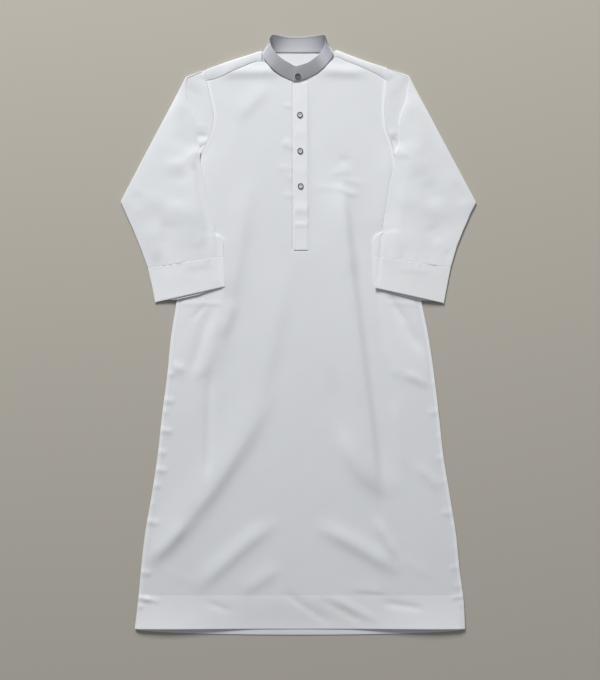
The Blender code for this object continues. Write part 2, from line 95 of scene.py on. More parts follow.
make_floor()
add_light("window", (-1.5, 6.1, 3.3), (0.05, 0.1, 0), 2.2, 555, "#FFFFFF")
add_light("fill", (2.8, 1.5, 1.9), (0.1, 0.1, 0), 2.0, 7, "#FFFAF2")
world = bpy.data.worlds.new("room")
world.use_nodes = True
air = world.node_tree.nodes["Background"].inputs
air["Color"].default_value, air["Strength"].default_value = linear("#F2F4F8"), 0.22
bpy.context.scene.world = world
bpy.context.scene.view_settings.view_transform = "Standard"

lens_data = bpy.data.cameras.new("above")
lens_data.sensor_width = SENSOR  # this is the picture's long side, its height
lens_data.lens = SENSOR * CAMERA_PLACE[2] / VIEW_HEIGHT
camera = in_scene("above", lens_data)
camera.location = CAMERA_PLACE
bpy.context.scene.camera = camera


# ==== Robe cloth ====
# A white suiting of polyester and viscose in a fine plain weave, pressed once and then laid out: matt,
# with a faint sheen where it turns away, and slack spots that no iron took out.

MM = 0.001
THREAD = 0.55 * MM  # twice the real thread, so that a close view shows a weave


def add_node(tree, kind, links=(), **settings):
    """One node with its settings; links are (input, node's output) pairs."""
    node = tree.nodes.new(kind)
    for name, value in settings.items():
        if name.startswith("in_"):
            node.inputs[int(name[3:])].default_value = value
        else:
            setattr(node, name, value)
    for socket, source in links:
        tree.links.new(source, node.inputs[socket])
    return node


def reckon(tree, operation, sources, **settings):
    """The output of one arithmetic node from its sources."""
    links = list(enumerate(sources))
    return add_node(tree, "ShaderNodeMath", links, operation=operation, **settings).outputs[0]


def cloth_material(name, colour, shade, doubled_and_painted_light, thread, bump, sheen):
    """Woven cloth on a piece's UV map, which is in metres: two crossed bands of threads, one over one,
    as a fine bump, and a broad soft mottling between the colour and its shade. By the attribute
    "second" it takes its third colour, where a second layer of cloth lies against it, and as painted
    light, which lightens a surface as a lamp would."""
    material, tree, shader = plain_material(name, colour, 0.82)
    place = add_node(tree, "ShaderNodeTexCoord")
    turns = 1 / (2 * thread)
    across = add_node(tree, "ShaderNodeMapping", [(0, place.outputs["UV"])], in_3=(turns, turns, turns))
    split = add_node(tree, "ShaderNodeSeparateXYZ", [(0, across.outputs[0])])
    bands = [reckon(tree, "SINE", [reckon(tree, "MULTIPLY", [split.outputs[axis]], in_1=6.2832)])
             for axis in (0, 1)]
    weave = reckon(tree, "MULTIPLY", bands)
    where = place.outputs["Object"]
    slack = add_node(tree, "ShaderNodeTexNoise", [(0, where)], in_2=9.0, in_3=3.0)
    slub = add_node(tree, "ShaderNodeTexNoise", [(0, where)], in_2=240.0, in_3=2.0)
    mix = add_node(tree, "ShaderNodeMix", [(0, slack.outputs[0])], data_type="RGBA",
                   in_6=linear(colour), in_7=linear(shade))
    # The attribute "second" holds the share of the third colour: two layers of cloth, and painted light.
    second_share = add_node(tree, "ShaderNodeAttribute", attribute_name="second")
    whiter = add_node(tree, "ShaderNodeMix", [(0, second_share.outputs["Fac"]), (6, mix.outputs[2])],
                      data_type="RGBA", in_7=linear(doubled_and_painted_light))
    tree.links.new(whiter.outputs[2], shader.inputs["Base Color"])
    relief = add_node(tree, "ShaderNodeBump", [("Height", reckon(tree, "ADD", [slub.outputs[0], weave]))])
    tree.links.new(relief.outputs[0], shader.inputs["Normal"])
    for node, socket, value in ((relief, "Strength", bump), (relief, "Distance", thread / 4),
                                (shader, "Specular IOR Level", 0.3), (shader, "Sheen Weight", sheen),
                                (shader, "Sheen Roughness", 0.5)):
        node.inputs[socket].default_value = value
    return material


# Its third colour, #F7F9FB, whitens two layers of cloth and is painted light on the lower sleeves and the
# cuffs.
ROBE_CLOTH = cloth_material("white suiting", "#EEF1F4", "#EBEDF0", "#F7F9FB", THREAD, 0.25, 0.12)


# ==== Front ====
# One panel from the forward shoulder seams to the hem, cut with the neck and the armholes and sewn to
# the back down both sides. It lies on the back: flat at its seams, a little slack between them.


def smooth(t):
    """Soft step from 0 to 1: three t squared less two t cubed."""
    t = np.clip(t, 0.0, 1.0)
    return t * t * (3.0 - 2.0 * t)


def blend(first, second, share):
    """Straight from the first to the second by share: first (1 - share) and second share, added."""
    return first * (1 - share) + second * share


def bell(t):
    """A bell from 1 down to 0: e to the power of minus t squared."""
    return np.exp(-t ** 2)


def curve_through(places, values, at):
    """Value at each place of a curve through a table's points: cubic pieces whose slope at a point is
    that of the parabola through it and its two neighbours."""
    places, values = np.asarray(places, float), np.asarray(values, float)
    steps = np.diff(places)
    slopes = np.diff(values) / steps
    slope = np.zeros(len(places))
    slope[1:-1] = (slopes[:-1] * steps[1:] + slopes[1:] * steps[:-1]) / (steps[:-1] + steps[1:])
    slope[0], slope[-1] = slopes[0], slopes[-1]
    at = np.clip(at, places[0], places[-1])
    k = np.clip(np.searchsorted(places, at) - 1, 0, len(steps) - 1)
    t = (at - places[k]) / steps[k]
    return ((2 * t**3 - 3 * t**2 + 1) * values[k] + (t**3 - 2 * t**2 + t) * steps[k] * slope[k]
            + (3 * t**2 - 2 * t**3) * values[k + 1] + (t**3 - t**2) * steps[k] * slope[k + 1])


def mesh_of(name, points, quads):
    """A smooth mesh from points in metres and the four point numbers of each face."""
    mesh = bpy.data.meshes.new(name)
    mesh.vertices.add(len(points))
    mesh.vertices.foreach_set("co", points.reshape(-1).astype(np.float32))
    mesh.loops.add(quads.size)
    mesh.loops.foreach_set("vertex_index", quads.reshape(-1).astype(np.int32))
    mesh.polygons.add(len(quads))
    mesh.polygons.foreach_set("loop_start", (np.arange(len(quads)) * 4).astype(np.int32))
    mesh.update(calc_edges=True)
    mesh.shade_smooth()
    return mesh


def sheet_object(name, grid, material, thickness=0.0, weld=False, side=-1.0, keep=None, second=0.0):
    """A cloth surface from a grid of points in millimetres, in rows; keep says which cells are there.

    Its UV map is the length along each row and each column, in metres, so a weave keeps its size.
    A thickness is laid at the back of the grid (side -1), at its front (1) or half to each side (0);
    second is the share, point by point, of the material's second colour, which marks two layers of
    cloth, painted light and a button's dished middle.
    """
    grid = np.asarray(grid, float) * MM
    rows, columns = grid.shape[:2]
    index = np.arange(rows * columns).reshape(rows, columns)
    quads = np.stack([index[:-1, :-1], index[:-1, 1:], index[1:, 1:], index[1:, :-1]], -1)
    quads = quads.reshape(-1, 4) if keep is None else quads[keep]
    mesh = mesh_of(name, grid.reshape(-1, 3), quads)
    run = np.linalg.norm(np.diff(grid, axis=1), axis=2)
    rise = np.linalg.norm(np.diff(grid, axis=0), axis=2)
    middle = slice(columns // 2, columns // 2 + 1)
    u = np.concatenate([np.zeros((rows, 1)), np.cumsum(run, axis=1)], axis=1)
    v = np.concatenate([np.zeros((1, columns)), np.cumsum(rise, axis=0)], axis=0)
    u, v = u - u[:, middle], np.repeat(v[:, middle], columns, axis=1)
    second_share = mesh.attributes.new("second", "FLOAT", "POINT")
    second_share.data.foreach_set("value", (np.zeros((rows, columns)) + second).reshape(-1).astype(np.float32))
    layer = mesh.uv_layers.new(name="cloth")
    corners = np.stack([u, v], -1).reshape(-1, 2)[quads.reshape(-1)]
    layer.data.foreach_set("uv", corners.astype(np.float32).ravel())
    if weld or keep is not None:
        work = bmesh.new()
        work.from_mesh(mesh)
        if weld:
            bmesh.ops.remove_doubles(work, verts=work.verts, dist=1e-6)
        bmesh.ops.delete(work, geom=[vert for vert in work.verts if not vert.link_faces], context="VERTS")
        work.to_mesh(mesh)
        work.free()
    mesh.materials.append(material)
    piece = in_scene(name, mesh)
    if thickness:
        wall = piece.modifiers.new("thickness", "SOLIDIFY")
        wall.thickness, wall.offset, wall.use_even_offset = thickness * MM, side, False
    # shading follows the cloth's faces, not the thin ones of its cut edge
    piece.modifiers.new("shading", "WEIGHTED_NORMAL").weight = 60
    return piece


CLOTH = 0.5  # thickness of the robe's cloth, in millimetres, seams aside
CAD_WALL, CAD_GAP = 1.2, 0.3  # wall of the solids' panels and the gap between two
HEM_Y, HEM_DEPTH = -733.0, 84.0  # y of the hem's corners, depth of its turned cloth
SHOULDER_Y, ARMPIT_Y = 636.0, 444.0
SHOULDER_SPAN = (-231.0, 221.0)  # x of the shoulder seams' outer ends
PLACKET_LEFT_X, PLACKET_WIDTH, PLACKET_FOOT_Y = -12.4, 36.4, 213.2
MIDDLE_X = 3  # x of the body's middle at the hem

# The side seams from the hem to the armpits and on along the armhole seams to the shoulders: y, x on
# the left, x on the right.
BODY_EDGES = np.array([
    (-733, -409, 416), (-656, -400, 412), (-590, -394, 403), (-500, -384, 394), (-400, -367, 378),
    (-300, -352, 362), (-200, -341, 351), (-100, -328, 339), (0, -318, 324), (75, -306, 309),
    (180, -292, 290), (300, -272, 268), (390, -255, 250), (444, -246, 241), (480, -229, 232),
    (520, -216, 219), (548, -212, 216), (585, -219, 216), (615, -225, 219), (645, -231, 221),
    (661, -231, 221),
], float)
# The forward shoulder seams and the neck between them.
FRONT_TOP = np.array([
    (-231, 636), (-213, 640), (-147, 668), (-92, 684), (-82, 681), (-64, 660), (-40, 647), (-14, 638),
    (12, 641), (34, 647), (60, 665), (79, 683), (92, 694), (118, 685), (182, 659), (216, 640), (221, 636),
], float)

# Folds and creases, here and in later tables: x and y of one end and of the other, how far the middle
# bends, how wide the slopes are on the west and on the east side of a line that runs down the robe (on
# the south and the north side of one that runs east across it), and the height, or depth of a trough.
LARGE_FOLDS = [
    (-39, 129, -104, -160, 6, 55, 24, 2.4), (-91, -180, -350, -548, 12, 55, 25, 5.2),
    (-81, -481, -234, -616, -3, 26, 18, 3.5), (103, 350, 190, -350, 0, 46, 16, 6.2),
    (114, -249, 212, -384, -17, 22, 40, 3.0), (71, -486, 232, -578, 2, 18, 24, 3.8),
    (-129, 351, -204, -46, 6, 40, 20, 2.8), (-186, 657, -50, 660, 0, 13, 14, 3.0),
    (60, 662, 156, 657, 0, 13, 14, 3.0), (-84, 614, -148, 549, 0, 26, 18, 1.8),
]
SMALL_FOLDS = [
    (112, 352, 142, 170, 0, 22, 10, 1.8), (131, 306, 212, -350, 0, 11, 50, -2.8),
    (-160, -300, -262, -440, 8, 30, 16, 1.4), (-284, -470, -364, -556, 4, 20, 15, 2.6),
    (-59, -588, -130, -636, 0, 24, 16, 2.0), (200, -470, 238, -545, 0, 13, 12, 2.8),
    (-162, 80, -188, 8, 0, 20, 15, 2.0), (-222, -100, -228, -340, 0, 11, 13, -2.8),
    (234, 98, 307, -32, -6, 15, 16, -2.4), (-221, 59, -268, -94, 0, 16, 13, -2.2),
    (272, -98, 320, -120, 0, 12, 12, 2.0), (-322, -72, -288, -86, 0, 11, 11, 1.8),
    (-298, 79, -192, 79, 0, 4, 5, 0.8), (-232, 78, -264, 42, 0, 6, 7, -1.0),
    (214, 80, 304, 77, 0, 4, 5, 0.6), (226, 98, 264, 38, 0, 6, 7, -1.2),
    (86, 404, 130, 408, 2, 8, 10, 0.8), (100, 438, 128, 436, 0, 10, 10, -0.9),
    (100, 366, 136, 352, 0, 6, 8, 0.8), (-30, -648, 70, -714, 0, 9, 12, -1.1),
    (92, -658, 186, -708, 0, 10, 12, 1.3), (62, -664, 150, -712, 0, 9, 9, -0.8),
    (218, -668, 304, -682, 0, 10, 9, -1.3), (-226, -668, -172, -688, 0, 10, 9, -1.0),
    (-398, -655, -352, -664, 0, 7, 7, 1.3), (-34, 574, -16, 572, 0, 4, 4, 0.9),
    (-38, 482, -12, 468, 0, 9, 12, 1.3), (-30, 392, -16, 390, 0, 5, 5, 0.8),
    (34, 600, 36, 250, 0, 9, 26, -1.1), (150, -160, 178, -300, 0, 12, 14, -1.0),
    (244, -180, 262, -330, 0, 14, 14, 1.2), (300, -330, 352, -380, 0, 12, 14, 1.4),
    (-246, 452, -184, 110, -3, 3, 40, 2.2), (237.5, 452, 205, 250, 2, 40, 4, 3.2),
    (258, -560, 330, -600, 0, 12, 14, 0.5), (-330, -590, -250, -622, 0, 14, 14, 0.4),
    (-52, 421, -16, 415, 0, 10, 8, 0.7), (-36, 402, -14, 397, 0, 4, 5, 0.6),
    (-34, 352, -14, 347, 0, 7, 6, 0.7), (112, 392, 162, 379, 0, 6, 6, 0.6),
    (46, 371, 112, 366, 0, 8, 8, 0.6), (118, 357, 146, 352, 0, 5, 5, 0.7),
    (84, -110, 130, -280, -6, 20, 24, -1.8), (140, -634, 212, -640, 0, 6, 20, 0.9),
]
# Puckers where the side seams draw the cloth in: height up the robe and length in from the seam.
PUCKERS_LEFT = [(-96, 22), (-161, 30), (-190, 20), (-236, 34), (-291, 26), (-334, 32), (-374, 24),
                (-420, 16), (-464, 34), (-591, 30), (-655, 34), (-676, 20)]
PUCKERS_RIGHT = [(-120, 18), (-190, 30), (-254, 18), (-306, 26), (-363, 22), (-441, 32), (-476, 18),
                 (-530, 16), (-579, 28), (-624, 24), (-651, 34), (-672, 18)]
PUCKER_HALF, PUCKER_LENGTH = 7.0, 28  # half a pucker's width, and the length that rises in full
RISE_LEFT, RISE_RIGHT = 1.3, 0.8  # how high the puckers of each side rise

# A pocket bag's outline: y, x at the side seam, x of its inner edge.
POCKET_LEFT = np.array([
    (-106, -306, -250), (-98, -312, -236), (-40, -306, -212), (75, -288, -190), (236, -262, -190),
    (256, -250, -212),
], float)
POCKET_RIGHT = np.array([
    (-106, 314, 254), (-98, 322, 240), (-40, 310, 220), (75, 290, 206), (234, 258, 190), (252, 244, 208),
], float)
POCKET_RISE, LOFT = 1.3, 2.2  # what a pocket bag and the cloth's slack raise the front by
HEM_STEP, HEM_CURL = 0.15, 4.6  # the hem's turned cloth, and how far its sides lift
HEM_SETTLES = 3.2  # how far the middle of the hem goes down onto the back
HEM_STITCHES = 2.5  # their distance below the hem's upper edge
ALLOWANCE = 9.0  # width of the seam allowances behind the panels' edges
ARMHOLE_RIDGE = 0.8  # the seam allowances' height along the armholes


def body_sides(y):
    """x of the body's left and right edge at each height y."""
    return [curve_through(BODY_EDGES[:, 0], side, y) for side in BODY_EDGES.T[1:]]


def inside_body(x, y):
    """Distance in from the body's nearer side edge, 0 outside it."""
    left, right = body_sides(y)
    return np.clip(np.minimum(x - left, right - x), 0, None)


def ridges(table, x, y):
    """Height of a table's creases together, each a bell across a line bent as a parabola, fading in and
    out at its ends."""
    total = 0
    for x1, y1, x2, y2, bend, west, east, height in table:
        dx, dy = x2 - x1, y2 - y1
        length = np.hypot(dx, dy)
        run = ((x - x1) * dx + (y - y1) * dy) / length**2
        off = ((x - x1) * -dy + (y - y1) * dx) / length - bend * 4 * run * (1 - run)
        fade = np.clip(2.2 * (east + west) / length, 0.25, 0.6)
        ends = smooth(run / fade + 0.5) * smooth((1 - run) / fade + 0.5)
        total = total + height * ends * bell(off / np.where(off > 0, east, west))
    return total


def pocket_cover(x, y):
    """1 over either pocket bag and 0 away from them, soft round their outlines."""
    total = 0.0
    for rows in (POCKET_LEFT, POCKET_RIGHT):
        side, inner = (np.interp(y, rows[:, 0], column) for column in rows.T[1:])
        low, high = np.minimum(side, inner), np.maximum(side, inner)
        across = smooth((x - low + 16) / 24) * smooth((high - x + 16) / 24)
        total += across * smooth((y - rows[0, 0] + 16) / 40) * smooth((rows[-1, 0] - y + 16) / 40)
    return total


def puckers(x, y):
    """Short ridges that stand square to a side seam and fade out a little way in."""
    left, right = body_sides(y)
    total = np.zeros_like(x)
    for inside, rows, rise in ((x - left, PUCKERS_LEFT, RISE_LEFT), (right - x, PUCKERS_RIGHT, RISE_RIGHT)):
        for height, length in rows:
            slope = y - height + 0.15 * inside
            reach = smooth((length - inside) / 10) * smooth((inside + 1) / 4)
            total += rise * bell(slope / PUCKER_HALF) * reach * length / PUCKER_LENGTH
    return total


def slack(x, y, seed, size):
    """Unevenness of cloth that lies slack: a sum of long waves in seeded directions."""
    draw = np.random.default_rng(seed)
    total = 0.0
    for _ in range(9):
        angle, phase = draw.uniform(0, np.pi), draw.uniform(0, 2 * np.pi)
        length = size * draw.uniform(0.6, 1.8)
        total = total + np.sin((x * np.cos(angle) + y * np.sin(angle)) * 2 * np.pi / length + phase)
    return total / 9


def front_form(x, y):
    """Height of the front's upper face without its fine creases, as the solid has it."""
    inside = inside_body(x, y)
    folds = ridges(LARGE_FOLDS, x, y) * smooth(inside / 40)
    pockets = POCKET_RISE * pocket_cover(x, y)
    hem, aside = HEM_Y + HEM_DEPTH - y, np.abs(x - MIDDLE_X)
    curl = HEM_CURL * np.clip(hem / HEM_DEPTH, 0, 1) ** 2 * (0.4 + 0.6 * smooth(inside / 15))
    settles = HEM_SETTLES * smooth(hem / HEM_DEPTH) * smooth(inside / 60)
    return (2 * CAD_WALL + CAD_GAP + LOFT * smooth(inside / 80) + folds + pockets * smooth(inside / 10)
            + HEM_STEP * smooth(hem / 3) + curl * smooth((aside - 110) / 240)
            - settles * (1 - smooth((aside - 60) / 240)))


def placket_groove(x, y):
    """Depth of the dips along the placket's left edge and under its foot, where stitches draw it in."""
    edge = 1.3 * bell((x - PLACKET_LEFT_X + 1.1) / 2.0) * smooth((y - PLACKET_FOOT_Y + 2) / 4)
    along = smooth((x - PLACKET_LEFT_X + 4.5) / 3) * smooth((PLACKET_LEFT_X + PLACKET_WIDTH + 2 - x) / 3)
    return edge + 0.6 * bell((y - PLACKET_FOOT_Y + 1.0) / 1.5) * along


def front_top(x, y):
    """Height of the front's upper face with everything that lies in the cloth."""
    inside = inside_body(x, y)
    fine = ridges(SMALL_FOLDS, x, y) * smooth(inside / 25)
    groove = 0.12 * bell((y - HEM_Y - HEM_DEPTH) / 2.2)
    armhole = ARMHOLE_RIDGE * bell(inside / 6) * smooth((y - ARMPIT_Y + 8) / 20)
    return (front_form(x, y) + fine + puckers(x, y) - groove - placket_groove(x, y) + armhole
            + 0.35 * slack(x, y, 3, 120) * smooth(inside / 30))


def front_doubled(x, y):
    """Share of two-layer cloth in the front: its seam allowances, its hem and what the pocket bags show."""
    seams = smooth((ALLOWANCE - inside_body(x, y)) / 2)
    hem = 0.8 * smooth((HEM_Y + HEM_DEPTH - y) / 1.5)
    return np.max([seams, hem, 0.4 * pocket_cover(x, y)], axis=0)


def stepped(low, high, coarse, fine, margin):
    """Places from low to high, about fine apart within a margin of either end and coarse between."""
    ends = np.arange(0, margin, fine)
    middle = np.linspace(low + margin, high - margin, int((high - low - 2 * margin) / coarse) + 1)
    return np.concatenate([low + ends, middle, high - ends[::-1]])


def body_plan(top_line, rows, columns, drop=0.0):
    """Plan positions of a body panel, as a ruled net between its sides: each row spreads the columns
    from side to side, and the top line's rise and the hem's drop fade out along the columns."""
    share = (columns - columns[0]) / (columns[-1] - columns[0])
    left, right = body_sides(rows)
    height = ((rows - rows[0]) / (rows[-1] - rows[0]))[:, None]
    x = blend(left[:, None], right[:, None], share)
    rise = curve_through(*top_line.T, columns) - rows[-1]
    bow = drop * np.sqrt(np.clip(4 * share * (1 - share), 0, None)) * (1 - height) ** 24
    return x, rows[:, None] + rise * height**3 - bow


def sewing_thread(name, colour):
    """Spun polyester thread, plain and slightly glossy."""
    return plain_material(name, colour, 0.6)[0]


SEWING_THREAD = sewing_thread("white sewing thread", "#E6E8EB")


def stitch_row(name, path, thread=SEWING_THREAD, radius=0.2, length=2.6, pitch=3.4):
    """A row of stitches along a path in millimetres: spindles of thread, half sunk in what they hold."""
    steps = np.linalg.norm(np.diff(path, axis=0), axis=1)
    run = np.concatenate([[0], np.cumsum(steps)])
    middle = pitch / 2 + pitch * np.arange(max(int(run[-1] / pitch + 1e-6), 1))
    place = middle[:, None] + length * np.array([[-0.5, -0.38, 0, 0.38, 0.5]])
    centre = np.stack([np.interp(place, run, column) for column in path.T], -1)
    centre[..., 2] += radius * np.array([-0.9, -0.1, 0.2, -0.1, -0.9])
    ahead = centre[:, -1:] - centre[:, :1]
    side = np.cross(ahead, [0.0, 0.0, 1.0])
    side = side / np.linalg.norm(side, axis=-1, keepdims=True)
    angle = np.linspace(0, 2 * np.pi, 6, endpoint=False)[None, None, :, None]
    thick = radius * np.array([0.4, 0.9, 1.0, 0.9, 0.4])[None, :, None, None]
    around = side[:, :, None] * np.cos(angle) + np.array([0, 0, 1.0]) * np.sin(angle)
    points = centre[:, :, None] + thick * around
    index = np.arange(points.size // 3).reshape(points.shape[:3])
    turned = np.roll(index, -1, axis=2)
    quads = np.stack([index[:, :-1], turned[:, :-1], turned[:, 1:], index[:, 1:]], -1).reshape(-1, 4)
    mesh = mesh_of(name, points.reshape(-1, 3) * MM, quads)
    mesh.materials.append(thread)
    row = in_scene(name, mesh)
    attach(row, "root")


FRONT_COLUMNS = np.unique(np.concatenate([stepped(*SHOULDER_SPAN, 3.2, 1.5, 15),
                                          np.arange(-18, -10, 1.0)]))
FRONT_ROWS = np.unique(np.concatenate([np.linspace(HEM_Y, HEM_Y + HEM_DEPTH + 12, 34)[:-1],
                                       np.linspace(HEM_Y + HEM_DEPTH + 12, SHOULDER_Y, 246),
                                       PLACKET_FOOT_Y + np.arange(-5, 2, 1.3)]))
front_x, front_y = body_plan(FRONT_TOP, FRONT_ROWS, FRONT_COLUMNS)
front = sheet_object("front_panel", np.stack([front_x, front_y, front_top(front_x, front_y)], -1),
                     ROBE_CLOTH, CLOTH, second=front_doubled(front_x, front_y))
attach(front, "root")
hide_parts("front")

left, right = body_sides(HEM_Y + HEM_DEPTH)
hem_x = np.linspace(left + 8, right - 8, 400)
hem_y = np.full(400, HEM_Y + HEM_DEPTH - HEM_STITCHES)
stitch_row("hem_stitches", np.stack([hem_x, hem_y, front_top(hem_x, hem_y)], -1))


# ==== Back ====
# One panel that lies flat on the surface and comes forward over each shoulder to the seam on the chest,
# with a straight back neck. Its hem shows a little below the front's.

BACK_DROP = 15.0  # how far the middle of its hem hangs below the corners
BACK_TOP = np.array([
    (-231, 664), (-196, 677), (-160, 689), (-120, 702), (-92, 710), (-82, 709), (-58, 709), (0, 709),
    (58, 709), (82, 709), (92, 712), (120, 703), (160, 688), (196, 676), (221, 668),
], float)
SEAM_OPEN = 0.5  # how wide the joint of two panels shows
NECK_HALF = 92.0  # the neck opening reaches this far to both sides
FOLD_HEIGHT, SHOULDER_SWELL = 4.4, 0.7  # least height of the shoulder's fold, and its cloth's swell


def shoulder_lines(x):
    """Along the shoulder at each x: y and height of its seam on the chest, y and height of its fold."""
    seam_y = curve_through(*FRONT_TOP.T, x)
    seam_z = front_top(x, seam_y)
    fold_z = np.maximum(seam_z, FOLD_HEIGHT) + 0.4 * slack(x, seam_y, 17, 60)
    return seam_y, seam_z, curve_through(*BACK_TOP.T, x), fold_z


def shoulder_top(x, y):
    """Height of the shoulder's upper face between its seam and its fold."""
    seam_y, seam_z, fold_y, fold_z = shoulder_lines(x)
    run = np.clip((y - seam_y) / (fold_y - fold_z / 2 - seam_y), 0, 1)
    return blend(seam_z, fold_z, run) + SHOULDER_SWELL * np.sin(np.pi * run)


BACK_COLUMNS = np.unique(np.concatenate([stepped(*SHOULDER_SPAN, 5.0, 2.0, 16),
                                         [-NECK_HALF, NECK_HALF]]))
BACK_ROWS = np.concatenate([np.linspace(HEM_Y, HEM_Y + HEM_DEPTH, 20)[:-1],
                            np.linspace(HEM_Y + HEM_DEPTH, ARMPIT_Y, 120)[:-1],
                            np.linspace(ARMPIT_Y, BODY_EDGES[-1, 0], 40)])
back_x, back_y = body_plan(BACK_TOP, BACK_ROWS, BACK_COLUMNS, BACK_DROP)
level = 0.1 + 0.25 * (1 + slack(back_x, back_y, 11, 90))
seam_y, seam_z, fold_y, fold_z = shoulder_lines(BACK_COLUMNS)
radius = fold_z / 2
on_shoulder = np.abs(BACK_COLUMNS) >= NECK_HALF
back_y[-1] = np.where(on_shoulder, fold_y - radius, fold_y)
net = [np.stack([back_x, back_y, level], -1)]
for angle in np.radians(np.arange(20, 180, 20)):
    ring = (back_x[-1], fold_y - radius + radius * np.sin(angle), radius - radius * np.cos(angle))
    net.append(np.stack(ring, -1)[None])
for run in np.linspace(0, 1, 14):
    at_x, at_y = blend(back_x[-1], BACK_COLUMNS, run), blend(fold_y - radius, seam_y + SEAM_OPEN, run)
    net.append(np.stack([at_x, at_y, shoulder_top(BACK_COLUMNS, at_y)], -1)[None])
net = np.concatenate(net)
there = np.ones((len(net) - 1, len(BACK_COLUMNS) - 1), bool)
there[len(BACK_ROWS) - 1:] = on_shoulder[:-1] & on_shoulder[1:]
back = sheet_object("back_panel", net, ROBE_CLOTH, CLOTH, side=1.0, keep=there)
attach(back, "root")
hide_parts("back")


# ==== Sleeves ====
# Two long one-piece sleeves with fullness in the cap, turned down over the robe's sides. Each leaves
# its armhole, lies back in a pleat over the cap, folds at its outer edge and returns underneath.

# Sections of a sleeve: x and y of the seam or inner fold, of the outer fold, and the share of the width
# that the pleat has reached.
SLEEVE_LEFT = np.array([
    (-231.5, 663, -244, 659.5, 0.04), (-231.5, 645, -262, 652.7, 0.04), (-225.5, 615, -281.8, 645, 0.04),
    (-219.5, 585, -298, 614, 0.24), (-212.5, 548, -323, 566, 0.51), (-216.5, 520, -340, 534, 0.66),
    (-229.5, 480, -367.5, 482, 0.83), (-246, 444, -393, 434, 1.0), (-237, 394, -412.5, 396, 1.0),
    (-224, 339, -432, 359, 1.0), (-216, 306, -444.5, 334, 1.0), (-209, 274, -429, 299, 1.0),
    (-205.5, 254, -420.5, 280, 1.0), (-190, 243, -412, 261, 1.0), (-187.5, 214, -391, 209, 1.0),
    (-187, 197.5, -376.5, 168, 1.0),
], float)
SLEEVE_RIGHT = np.array([
    (221.5, 666, 235, 661.5, 0.04), (221.5, 645, 254, 655.5, 0.04), (219.5, 615, 276, 648, 0.04),
    (216.5, 585, 289, 622, 0.22), (216.5, 548, 313.5, 576, 0.56), (219.5, 520, 327, 551, 0.70),
    (232.5, 480, 354, 500, 0.84), (241, 444, 381, 449, 1.0), (232.5, 394, 400, 414, 1.0),
    (224, 344, 421, 374, 1.0), (218, 309, 443.5, 332, 1.0), (213, 276, 429, 304, 1.0),
    (209, 258, 420.5, 283, 1.0), (189.5, 246, 412, 264, 1.0), (186.5, 216, 396, 224, 1.0),
    (186.5, 199, 380, 169, 1.0),
], float)
SLEEVE_CREASES = [
    (-306, 480, -312, 410, 0, 26, 24, 1.8), (-268, 430, -288, 380, 0, 20, 20, -0.9),
    (-270, 424, -246, 262, 0, 60, 14, 3.4), (-238, 424, -212, 262, -2, 3, 3, -1.8),
    (-318, 424, -246, 434, 0, 26, 14, 1.5), (-352, 276, -346, 196, 0, 26, 12, 1.6),
    (209, 264, 203, 196, 0, 3, 4, -1.4), (-334, 290, -336, 210, 0, 18, 16, -1.1),
    (-398, 352, -402, 322, 0, 16, 16, -0.7), (-306, 330, -322, 280, 0, 22, 22, 1.1),
    (-300, 590, -318, 480, 0, 22, 20, 1.0), (-236, 246, -262, 222, 0, 12, 12, 0.6),
    (-372, 262, -352, 200, 0, 20, 18, 0.8), (-240, 300, -390, 352, 6, 24, 22, 0.9),
    (296, 480, 302, 410, 0, 24, 26, 1.8), (328, 380, 346, 338, 0, 20, 18, -1.2),
    (392, 376, 412, 334, 0, 15, 15, -0.8), (296, 310, 312, 262, 0, 20, 20, 0.4),
    (330, 270, 348, 238, 0, 15, 15, -0.9), (372, 210, 384, 190, 0, 11, 11, -0.9),
    (296, 590, 312, 480, 0, 20, 22, 1.0), (254, 340, 370, 300, 0, 22, 22, 0.8),
    (240, 262, 262, 222, 0, 12, 12, 0.6),
]
# Humps and pits of the cloth between an armhole and the pleat, down to the armpit.
ARMPIT_CREASES = [
    (-252, 520, -236, 524, 0, 7, 14, 0.9), (-256, 500, -230, 497, 0, 7, 7, -1.7),
    (-250, 478, -230, 486, 0, 4, 5, 0.8), (-248, 449, -234, 468, 0, 7, 7, -4.5),
    (-262, 610, -250, 560, 0, 16, 14, -0.8), (-232, 640, -222, 560, 0, 8, 8, 0.6),
    (237, 488, 241, 444, 0, 5, 6, -4.5), (262, 640, 270, 622, 0, 6, 6, -1.0),
    (250, 600, 256, 540, 0, 14, 14, -0.8), (228, 500, 244, 508, 0, 5, 10, 1.0),
]
SLEEVE_EDGE, INNER_EDGE = 3.4, 1.0  # thickness of the tube at its outer and its inner fold
SLEEVE_PUFF, LAY_GAP = 2.3, 0.8  # height of its puff, and the gap to what it lies on
EDGE_ROLL = 1.4  # how far the left sleeve's inner edge rolls up
STRIP_LINE = (207.0, 0.09, 262.0)  # the inner folds' line: x at its top, its lean, y of its top
PLEAT_UNDER, PLEAT_ROUND = 12.0, 1.2  # the pleat's cloth back under its edge, and the edge's rounding
PLEAT_LOW, PLEAT_HIGH = 1.6, 2.2  # heights of that cloth where it begins and at the edge
INNER_REACH = 44.0  # how far in from the thin inner fold the tube gets to its thickness
THINS_FROM_Y = 330  # from here down to its cuff a sleeve is thinner
TOP_POINTS, LOW_POINTS = 62, 26  # points across the upper and the lower layer
REST = 0.5  # cloth lies this high, so that its thickness is above the surface
MAP_STEP = 8.0  # spacing of the map of what the sleeves lie on


def spread(grid, reach, how):
    """A grid's values combined, as a mean or a maximum, over a square of cells round each."""
    steps = range(-reach, reach + 1)
    return how([np.roll(grid, (down, across), (0, 1)) for down in steps for across in steps], axis=0)


map_x, map_y = np.arange(-480, 481, MAP_STEP), np.arange(-40, 721, MAP_STEP)
over_x, over_y = np.meshgrid(map_x, map_y)
left_side, right_side = body_sides(over_y)
on_body = (over_x >= left_side) & (over_x <= right_side) & (over_y < 668)
lying_map = spread(np.where(on_body, front_form(over_x, over_y) + LAY_GAP, 0.0), 4, np.max)
lying_map = spread(spread(lying_map, 3, np.mean), 2, np.mean)


